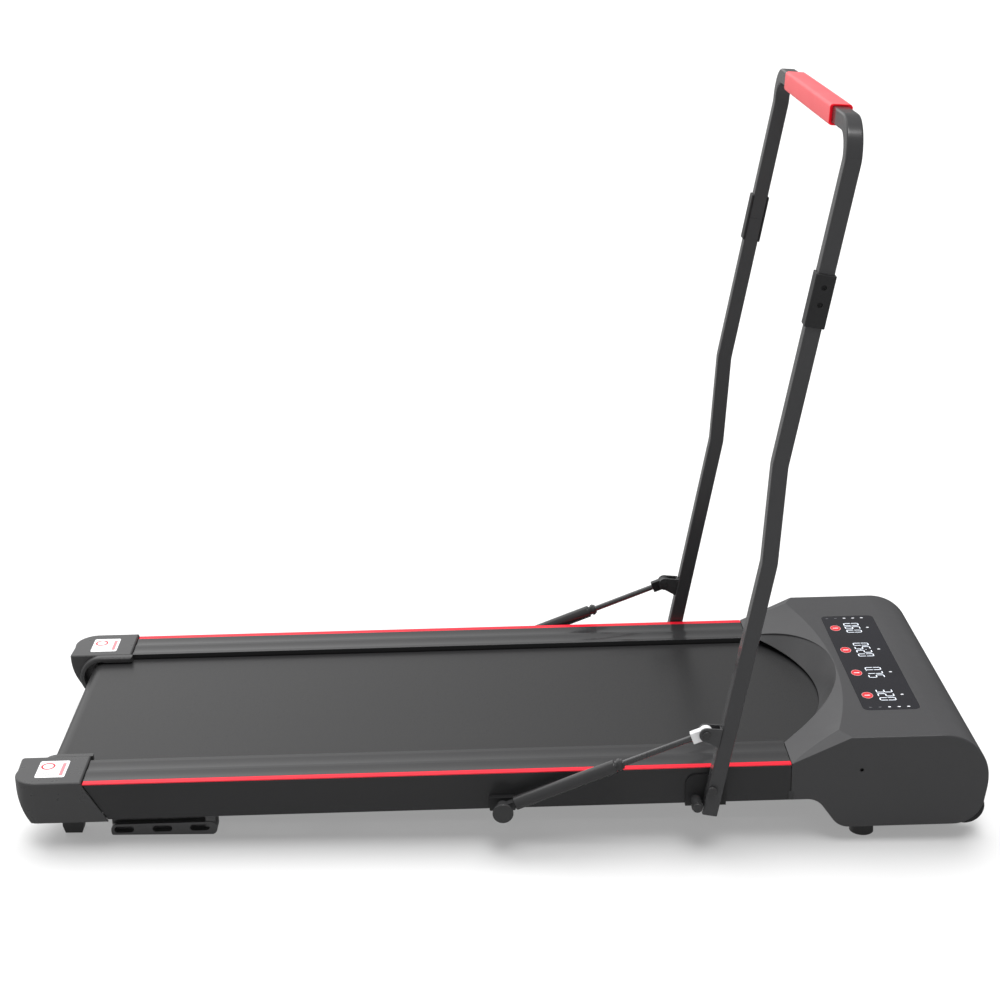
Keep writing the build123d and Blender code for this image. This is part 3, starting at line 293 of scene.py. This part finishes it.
def board_material():
    """Green solder mask with copper tracks showing through."""
    material, tree, shader = new_material("circuit_board")
    tracks = cells(tree, coordinates(tree, (1.0, 1.0, 0.1)), scale=260.0, feature="DISTANCE_TO_EDGE")
    copper, mask = (0.06, 0.22, 0.09), (0.012, 0.075, 0.035)
    colour_out = blend_colours(tree, tracks, copper, mask, from_low=0.03, from_high=0.08)
    tree.links.new(colour_out, shader.inputs["Base Color"])
    shader.inputs["Roughness"].default_value = 0.35
    bump(tree, shader, tracks, 50 * MICRON)
    return material


def floor_material():
    """Plain pale studio floor, which glows a little so that it stays white."""
    material, tree, shader = new_material("studio_floor")
    patch = noise(tree, coordinates(tree), scale=1.5, detail=2.0)
    colour_out = blend_colours(tree, patch, (0.52, 0.52, 0.52), (0.54, 0.54, 0.54))
    tree.links.new(colour_out, shader.inputs["Base Color"])
    shader.inputs["Roughness"].default_value = 0.6
    shader.inputs["Specular IOR Level"].default_value = 0.1
    shader.inputs["Emission Color"].default_value = (1.0, 1.0, 1.0, 1.0)
    shader.inputs["Emission Strength"].default_value = 0.30
    return material


# ---------------------------------------------------------------- mesh tools
def add_shape(name, shape, body, material):
    """Turn a finished bmesh into a piece that rides on a body."""
    bmesh.ops.recalc_face_normals(shape, faces=shape.faces)
    mesh = bpy.data.meshes.new(name)
    shape.to_mesh(mesh)
    shape.free()
    piece = bpy.data.objects.new(name, mesh)
    bpy.context.scene.collection.objects.link(piece)
    piece.data.materials.append(material)
    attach(piece, body)
    return piece


def skin(shape, loops):
    """Faces between each loop of vertices and the next."""
    for first, second in zip(loops, loops[1:]):
        for index in range(len(first)):
            after = (index + 1) % len(first)
            shape.faces.new((first[index], first[after], second[after], second[index]))


def inlay(name, outlines, top, thickness, material):
    """Thin plates on the deck, one for each outline of (x, y), on a surface at top, all in deck axes."""
    shape = bmesh.new()
    for outline in outlines:
        low = [shape.verts.new(on_deck(x, y, top)) for x, y in outline]
        high = [shape.verts.new(on_deck(x, y, top + thickness)) for x, y in outline]
        skin(shape, [low, high])
        shape.faces.new(low)
        shape.faces.new(reversed(high))
    add_shape(name, shape, "deck", material)


def oval(x, y, half_x, half_y, steps=36):
    """Outline of an ellipse."""
    angles = [2 * pi * step / steps for step in range(steps)]
    return [(x + half_x * cos(angle), y + half_y * sin(angle)) for angle in angles]


def bar(x, y, half_x, half_y):
    """Outline of a rectangle."""
    return [
        (x - half_x, y - half_y),
        (x + half_x, y - half_y),
        (x + half_x, y + half_y),
        (x - half_x, y + half_y),
    ]


def ring_parts(x, y, outer, inner, squash=1.0, steps=28):
    """A ring, narrowed along X by squash, as short pieces side by side."""
    parts = []
    for step in range(steps):
        a = 2 * pi * step / steps
        b = 2 * pi * (step + 1) / steps
        parts.append([
            (x + squash * inner * cos(a), y + inner * sin(a)),
            (x + squash * outer * cos(a), y + outer * sin(a)),
            (x + squash * outer * cos(b), y + outer * sin(b)),
            (x + squash * inner * cos(b), y + inner * sin(b)),
        ])
    return parts


# ---------------------------------------------------------------- display
# A reading's text, and Y of its middle
READINGS = (("0.60", 114.0), ("05:20", 36.5), ("0.75", -40.5), ("3.20", -112.5))
DIGITS_FOOT = 1061.7             # X of the digits' feet
DIGIT_HEIGHT = 22.3
DIGIT_WIDTH = 8.9
DIGIT_PITCH = 12.4
STROKE = 1.4                     # width of a digit's bars
SEGMENT_GAP = 0.3                # between the ends of neighbouring bars
SLANT = 0.02
SEGMENTS = {
    "0": "abcdef", "1": "bc", "2": "abged", "3": "abgcd", "4": "fgbc",
    "5": "afgcd", "6": "afgedc", "7": "abc", "8": "abcdefg", "9": "abcfgd",
}
POINT_RADIUS = 0.7
COLON_RADIUS = 0.8
COLON_HEIGHTS = (0.32, 0.68)     # as parts of a digit's height
POINT_LEAD = 1.5                 # from a point or colon to the next digit
POINT_STEPS = 12

KEYS_X = 1047.5
KEY_HALVES = (7.0, 9.0)
RIM_OUTER = 9.6
RIM_INNER = 9.0
RIM_SQUASH = 0.78
KEY_BAR_HALVES = (3.9, 0.9)
DOTS_X = 1095.0
DOT_HALVES = (2.2, 1.4)
END_DOTS = ((149.5, 1041.5), (-149.5, 1044.0))     # Y of each end row, and X of its first dot
END_DOT_HALVES = (2.2, 1.3)
END_DOT_PITCH = 12.9
END_DOT_COUNT = 5
FAINT_COUNT = 2                  # dots of an end row that aren't lit
DOT_STEPS = 14
PRINT_THICKNESS = 0.12
RIM_THICKNESS = 0.14
KEY_BAR_FOOT = 0.1               # above the window, just inside the key
KEY_BAR_THICKNESS = 0.1


def segment(kind):
    """Pointed bar of one segment in digit axes: across to the right, up from the digit's foot."""
    half_height, half = DIGIT_HEIGHT / 2, STROKE / 2
    flat = {"a": DIGIT_HEIGHT - half, "g": half_height, "d": half}
    if kind in flat:
        up = flat[kind]
        left, right = half + SEGMENT_GAP, DIGIT_WIDTH - half - SEGMENT_GAP
        return [
            (left, up), (left + half, up + half), (right - half, up + half),
            (right, up), (right - half, up - half), (left + half, up - half),
        ]
    across = half if kind in "ef" else DIGIT_WIDTH - half
    low = half_height + SEGMENT_GAP if kind in "bf" else half + SEGMENT_GAP
    high = DIGIT_HEIGHT - half - SEGMENT_GAP if kind in "bf" else half_height - SEGMENT_GAP
    return [
        (across, low), (across + half, low + half), (across + half, high - half),
        (across, high), (across - half, high - half), (across - half, low + half),
    ]


def readout(text, y_middle):
    """Outlines of a number, in deck axes, read from the left hand to the right."""
    digits = [sign for sign in text if sign in SEGMENTS]
    start = y_middle + (len(digits) * DIGIT_PITCH - (DIGIT_PITCH - DIGIT_WIDTH)) / 2
    outlines = []
    for sign in text:
        if sign == ":":
            for part in COLON_HEIGHTS:
                x = DIGITS_FOOT + DIGIT_HEIGHT * part
                outlines.append(oval(x, start + POINT_LEAD, COLON_RADIUS, COLON_RADIUS, POINT_STEPS))
        elif sign == ".":
            x = DIGITS_FOOT + POINT_RADIUS
            outlines.append(oval(x, start + POINT_LEAD, POINT_RADIUS, POINT_RADIUS, POINT_STEPS))
        else:
            for kind in SEGMENTS[sign]:
                corners = segment(kind)
                outlines.append([(DIGITS_FOOT + up, start - across - SLANT * up) for across, up in corners])
            start -= DIGIT_PITCH
    return outlines


def add_display(materials):
    """Digits, keys and indicator dots on the console window."""
    digits, keys, rims, bars, dots, faint = [], [], [], [], [], []
    for text, y in READINGS:
        digits += readout(text, y)
        keys.append(oval(KEYS_X, y, *KEY_HALVES))
        rims += ring_parts(KEYS_X, y, RIM_OUTER, RIM_INNER, RIM_SQUASH)
        bars.append(bar(KEYS_X, y, *KEY_BAR_HALVES))
        dots.append(oval(DOTS_X, y, *DOT_HALVES, DOT_STEPS))
    for y, first_x in END_DOTS:
        for index in range(END_DOT_COUNT):
            dot = oval(first_x + END_DOT_PITCH * index, y, *END_DOT_HALVES, DOT_STEPS)
            (faint if index < FAINT_COUNT else dots).append(dot)
    bars_foot = WINDOW_TOP + KEY_BAR_FOOT
    inlay("display_digits", digits, WINDOW_TOP, PRINT_THICKNESS, materials["digit"])
    inlay("display_keys", keys, WINDOW_TOP, PRINT_THICKNESS, materials["key"])
    inlay("display_key_rims", rims, WINDOW_TOP, RIM_THICKNESS, materials["key_rim"])
    inlay("display_key_bars", bars, bars_foot, KEY_BAR_THICKNESS, materials["print"])
    inlay("display_dots", dots, WINDOW_TOP, PRINT_THICKNESS, materials["print"])
    inlay("display_faint_dots", faint, WINDOW_TOP, PRINT_THICKNESS, materials["faint"])


# ---------------------------------------------------------------- labels
LABEL_Y = 198.0                  # middle of a label, on the left side
LABEL_RING_X = -51.5
LABEL_RING_SHIFT = 8.0           # shifts along Y from the label's middle
LABEL_RING_OUTER = 9.4
LABEL_RING_INNER = 6.9
LABEL_BAND_X = -30.8
LABEL_BAND_SHIFT = -1.0
LABEL_BAND_HALVES = (2.3, 17.0)
RULES_X = -57.0                  # X of the first rule
RULES_SHIFT = -13.5
RULE_PITCH = 3.4
RULE_COUNT = 6
RULE_HALF_WIDTH = 0.45
RULE_HALF_LENGTHS = (6.0, 5.5)   # of every even and every odd rule
INK_THICKNESS = 0.06


def add_label_prints(materials):
    """Plain ring, band and rules on the two cap labels."""
    for side, sign in SIDES:
        middle = sign * LABEL_Y
        rings = ring_parts(LABEL_RING_X, middle + LABEL_RING_SHIFT, LABEL_RING_OUTER, LABEL_RING_INNER)
        bands = [bar(LABEL_BAND_X, middle + LABEL_BAND_SHIFT, *LABEL_BAND_HALVES)]
        rules = []
        for index in range(RULE_COUNT):
            x = RULES_X + RULE_PITCH * index
            rules.append(bar(x, middle + RULES_SHIFT, RULE_HALF_WIDTH, RULE_HALF_LENGTHS[index % 2]))
        inlay(f"label_ring_{side}", rings, LABEL_TOP, INK_THICKNESS, materials["label_red"])
        inlay(f"label_band_{side}", bands, LABEL_TOP, INK_THICKNESS, materials["label_pink"])
        inlay(f"label_rules_{side}", rules, LABEL_TOP, INK_THICKNESS, materials["label_grey"])


# ---------------------------------------------------------------- seams
# A strip's section on the left side, as Y and Z, and the X of each place along it that has one
SEAM_SECTION = ((234.6, 41.2), (236.9, 40.6), (236.9, 46.0), (236.2, 52.0), (234.6, 52.6))
SEAM_PLACES = (921.5, 925.2, 928.5)


def add_seam_strips(material):
    """Dark sealing strips behind the joints between the rails' skirts and the hood."""
    for side, sign in SIDES:
        shape = bmesh.new()
        loops = [[shape.verts.new(on_deck(x, sign * y, z)) for y, z in SEAM_SECTION] for x in SEAM_PLACES]
        skin(shape, loops)
        shape.faces.new(loops[0])
        shape.faces.new(reversed(loops[-1]))
        add_shape(f"seam_strip_{side}", shape, "deck", material)


# ---------------------------------------------------------------- grip
# Lengths are in metres, and a part is a share of the half length or of the profile's size
GRIP_HALF_X = 0.0138
GRIP_HALF_Z = 0.0128
GRIP_CORNER = 0.0042
GRIP_BORE = 0.0102               # half the width of the square bore, just clear of the tube
CORNER_STEPS = 6
GRIP_LEAN = radians(4.1) - INCLINE       # the tube's lean in the frame
GRIP_RINGS = 56                  # steps along the grip
GRIP_RING_SPAN = 0.9965          # part of the grip's length that the steps divide
GRIP_CROWN = 0.012               # how much wider the middle is than the ends, as a part
# The rolled end, from the side inwards: parts of the half length and of the profile
GRIP_END = ((0.991, 0.999), (1.0, 0.985), (1.0, 0.93), (0.996, 0.87))
END_FACES_FROM = 0.993           # part of the half length past which a face belongs to the cut end


def grip_profile():
    """Rounded rectangle across the grip, as (x, z) from its middle."""
    profile = []
    for quarter in range(4):
        corner_x = (GRIP_HALF_X - GRIP_CORNER) * (1 if quarter in (0, 3) else -1)
        corner_z = (GRIP_HALF_Z - GRIP_CORNER) * (1 if quarter in (0, 1) else -1)
        for step in range(CORNER_STEPS + 1):
            angle = pi / 2 * quarter + pi / 2 * step / CORNER_STEPS
            profile.append((corner_x + GRIP_CORNER * cos(angle), corner_z + GRIP_CORNER * sin(angle)))
    return profile


def bore_profile(profile):
    """The profile's points drawn in to the square bore."""
    reaches = [max(abs(x), abs(z)) for x, z in profile]
    return [(x / reach * GRIP_BORE, z / reach * GRIP_BORE) for (x, z), reach in zip(profile, reaches)]


def grip_sections(half_length):
    """Every section of the grip from one end to the other: its place along Y, and its (x, z) points."""
    profile = grip_profile()
    widths = [(part * half_length, width) for part, width in GRIP_END]
    places = [(-y, width) for y, width in reversed(widths)]
    for ring in range(1, GRIP_RINGS):
        part = -1 + 2 * ring / GRIP_RINGS
        places.append((part * half_length * GRIP_RING_SPAN, 1.0 + GRIP_CROWN * (1 - part ** 4)))
    places += widths
    mouth = GRIP_END[-1][0] * half_length
    sections = [(y, [(x * width, z * width) for x, z in profile]) for y, width in places]
    return [(-mouth, bore_profile(profile)), *sections, (mouth, bore_profile(profile))]


def add_grip(material, painted_glow_end_material):
    """Foam grip: a rounded square sleeve, slightly crowned, with soft rolled ends round the tube."""
    low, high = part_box("grip")
    middle = (low + high) / 2
    half_length = (high.y - low.y) / 2
    shape = bmesh.new()
    loops = []
    for y, points in grip_sections(half_length):
        turned = [
            (x * cos(GRIP_LEAN) + z * sin(GRIP_LEAN), y, z * cos(GRIP_LEAN) - x * sin(GRIP_LEAN))
            for x, z in points
        ]
        loops.append([shape.verts.new(middle + Vector(point)) for point in turned])
    skin(shape, loops)
    skin(shape, [loops[-1], loops[0]])
    for face in shape.faces:
        from_middle = abs(face.calc_center_median().y - middle.y)
        face.smooth = True
        face.material_index = int(from_middle > half_length * END_FACES_FROM)
    piece = add_shape("foam_grip", shape, "handrail", material)
    # The cut ends take a material whose glow is painted light.
    piece.data.materials.append(painted_glow_end_material)
    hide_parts("grip")


# ---------------------------------------------------------------- finishes
FINISHES = {
    "rail_paint": ["side_rail_left", "side_rail_right"],
    "tube_paint": ["lower_upright_left", "lower_upright_right", "upper_handrail", "strut_clevises"],
    "bracket_steel": ["pivot_brackets", "strut_bosses"],
    "frame_steel": [
        "side_frame_left", "side_frame_right", "cross_members", "wheel_brackets", "motor_bracket",
        "belly_pan",
    ],
    "cap_plastic": ["rear_cap_left", "rear_cap_right"],
    "hood_plastic": ["motor_hood"],
    "small_plastic": [
        "joint_sleeve_left", "joint_sleeve_right", "power_inlet", "switch_housing",
        "transport_wheel_left", "transport_wheel_right",
    ],
    "strut_black": [
        "strut_cylinder_left", "strut_cylinder_right", "strut_pins", "stop_bolts", "pivot_bolts",
        "clevis_pins",
    ],
    "stripe_red": ["rail_stripes", "power_switch"],
    "label_white": ["cap_labels"],
    "window": ["console_window"],
    "board": ["display_board", "motor_controller"],
    "foam": ["grip"],
    "belt": ["running_belt"],
    "rubber": ["drive_belt", "deck_cushions", "front_feet", "rear_feet"],
    # The foot bars take a rubber made lighter as painted light, against the shade under the rails.
    "bar_rubber_painted_light": ["foot_bars"],
    "deck_film": ["deck_board"],
    "roller_steel": [
        "front_roller", "rear_roller", "front_bearings", "rear_bearings", "roller_axles", "motor_shaft",
        "wheel_axles",
    ],
    "rod_steel": ["strut_rod_left", "strut_rod_right"],
    "screw_steel": ["tension_bolts"],
    "screw_black": ["hood_screws", "sleeve_screws"],
    "alloy": ["motor_can", "roller_pulley", "motor_pulley"],
    "end_white": ["rod_end_right"],
    "end_black": ["rod_end_left"],
}

# Paints and plastics, as coated() takes them: colour, roughness, grain depth and repeats, and what differs
# from its usual coat, edge and spread
COATED = {
    "rail_paint": ((0.028, 0.028, 0.029), 0.22, 0.6, 1400, {"coat": 0.3, "edge_mm": 0.8}),
    "tube_paint": ((0.050, 0.050, 0.052), 0.24, 3, 1700, {"coat": 0.3, "edge_mm": 0.8}),
    "bracket_steel": ((0.020, 0.020, 0.021), 0.40, 6, 1700, {"edge_mm": 0.4}),
    "frame_steel": ((0.015, 0.015, 0.016), 0.42, 20, 1200, {}),
    "cap_plastic": ((0.056, 0.056, 0.057), 0.28, 3, 1600, {}),
    "hood_plastic": ((0.053, 0.053, 0.055), 0.34, 3, 1500, {"edge_mm": 1.4}),
    "small_plastic": ((0.022, 0.022, 0.023), 0.36, 10, 1800, {}),
    "strut_black": ((0.038, 0.038, 0.039), 0.20, 2, 1500, {"coat": 0.4}),
    "screw_black": ((0.012, 0.012, 0.013), 0.35, 10, 1500, {}),
    "stripe_red": ((0.80, 0.010, 0.030), 0.30, 4, 900, {"edge_mm": 0.2, "spread": 0.03}),
    "label_white": ((0.86, 0.86, 0.87), 0.32, 10, 700, {"edge_mm": 0.0, "spread": 0.02}),
    "rubber": ((0.040, 0.040, 0.041), 0.38, 10, 1100, {"edge_mm": 1.0}),
    # Rubber made nearly three times lighter than the rubber above: painted light against the shade the foot
    # bars sit in under the rails.
    "bar_rubber_painted_light": ((0.11, 0.11, 0.112), 0.34, 10, 1100, {"edge_mm": 1.0}),
    "deck_film": ((0.012, 0.012, 0.012), 0.30, 20, 800, {}),
    "end_white": ((0.72, 0.72, 0.73), 0.30, 10, 900, {"spread": 0.04}),
    "end_black": ((0.022, 0.022, 0.023), 0.36, 10, 900, {}),
}
# Prints, lamps and the grip's cut ends: colour and glow. The cut ends' glow is painted light that brightens
# faces turned from the suns.
LIT = {
    "label_red": ((0.62, 0.03, 0.05), 0.0),
    "label_pink": ((0.72, 0.25, 0.28), 0.0),
    "label_grey": ((0.34, 0.34, 0.35), 0.0),
    "digit": ((0.80, 0.86, 0.95), 0.40),
    "key": ((0.60, 0.030, 0.038), 0.12),
    "key_rim": ((0.85, 0.45, 0.46), 0.15),
    "print": ((0.80, 0.82, 0.86), 0.20),
    "faint": ((0.10, 0.10, 0.11), 0.0),
    # The cut ends glow as painted light, so that they read bright red though little light reaches them.
    "foam_end_painted_glow": ((0.86, 0.004, 0.018), 0.30),
}
# Bare metals: colour and roughness
METALS = {
    "roller_steel": ((0.55, 0.55, 0.56), 0.30),
    "rod_steel": ((0.26, 0.26, 0.265), 0.22),
    "screw_steel": ((0.10, 0.10, 0.105), 0.34),
    "alloy": ((0.6, 0.6, 0.61), 0.42),
}


def make_materials():
    """Every material of the product, by its use."""
    materials = {
        "window": window_material(),
        "board": board_material(),
        "foam": foam_material(),
        "belt": belt_material(),
    }
    for name, (*settings, changes) in COATED.items():
        materials[name] = coated(name, *settings, **changes)
    for name, (colour, glow) in LIT.items():
        materials[name] = lit_material(name, colour, glow)
    for name, (colour, roughness) in METALS.items():
        materials[name] = metal(name, colour, roughness)
    return materials


def finish_nodes(materials):
    """Give every CAD node its finish."""
    for finish, names in FINISHES.items():
        for name in names:
            mesh = nodes[name].data
            mesh.materials.clear()
            mesh.materials.append(materials[finish])


# ---------------------------------------------------------------- studio
def add_floor():
    """Pale floor that reflections don't show."""
    corners = [
        (-FLOOR_REACH, -FLOOR_REACH, 0),
        (FLOOR_REACH, -FLOOR_REACH, 0),
        (FLOOR_REACH, FLOOR_REACH, 0),
        (-FLOOR_REACH, FLOOR_REACH, 0),
    ]
    mesh = bpy.data.meshes.new("floor")
    mesh.from_pydata(corners, [], [(0, 1, 2, 3)])
    floor = bpy.data.objects.new("floor", mesh)
    bpy.context.scene.collection.objects.link(floor)
    mesh.materials.append(floor_material())
    floor.visible_glossy = False


def add_sky():
    """White sky: an even near half, and a far half that fades from the deck's rear end to the hood."""
    world = bpy.data.worlds.new("studio")
    bpy.context.scene.world = world
    world.use_nodes = True
    tree = world.node_tree
    background = tree.nodes["Background"]
    background.inputs["Color"].default_value = (1.0, 1.0, 1.0, 1.0)
    split = tree.nodes.new("ShaderNodeSeparateXYZ")
    tree.links.new(tree.nodes.new("ShaderNodeTexCoord").outputs["Generated"], split.inputs["Vector"])
    along = remap(tree, split.outputs["X"], SKY_REAR, SKY_FRONT, *SKY_ALONG)
    near = remap(tree, split.outputs["Y"], SKY_NEAR, 0.0, *SKY_ACROSS)
    far = maths(tree, "MULTIPLY", along, remap(tree, split.outputs["Y"], 0.0, 1.0, *SKY_ACROSS))
    far = maths(tree, "MULTIPLY", far, remap(tree, split.outputs["Z"], SKY_BELOW, 1.0, *SKY_RISE))
    tree.links.new(maths(tree, "ADD", far, near), background.inputs["Strength"])


def add_suns():
    """A broad sun that gives the soft shadow, and a weaker one that gives the highlights."""
    for name, energy, spread, tip, tilt, in_gloss in SUNS:
        sun = bpy.data.lights.new(name, "SUN")
        sun.energy = energy
        sun.angle = radians(spread)
        lamp = bpy.data.objects.new(name, sun)
        lamp.rotation_euler = (radians(tip), radians(tilt), 0)
        lamp.visible_glossy = in_gloss
        bpy.context.scene.collection.objects.link(lamp)


def add_camera():
    """Camera at the photograph's angle."""
    forward = Vector((
        sin(CAMERA_YAW) * cos(CAMERA_DOWN),
        cos(CAMERA_YAW) * cos(CAMERA_DOWN),
        -sin(CAMERA_DOWN),
    ))
    right = Vector((cos(CAMERA_YAW), -sin(CAMERA_YAW), 0))
    up = right.cross(forward)
    turned_right = right * cos(CAMERA_ROLL) + up * sin(CAMERA_ROLL)
    turned_up = up * cos(CAMERA_ROLL) - right * sin(CAMERA_ROLL)
    lens = bpy.data.cameras.new("camera")
    lens.lens = CAMERA_LENS
    lens.sensor_width = CAMERA_SENSOR
    camera = bpy.data.objects.new("camera", lens)
    axes = Matrix((turned_right, turned_up, -forward)).transposed().to_4x4()
    camera.matrix_world = Matrix.Translation(CAMERA_PLACE) @ axes
    bpy.context.scene.collection.objects.link(camera)
    bpy.context.scene.camera = camera


materials = make_materials()
finish_nodes(materials)
add_grip(materials["foam"], materials["foam_end_painted_glow"])
add_display(materials)
add_label_prints(materials)
add_seam_strips(materials["rubber"])
add_floor()
add_sky()
add_suns()
add_camera()
bpy.context.scene.view_settings.view_transform = "Standard"
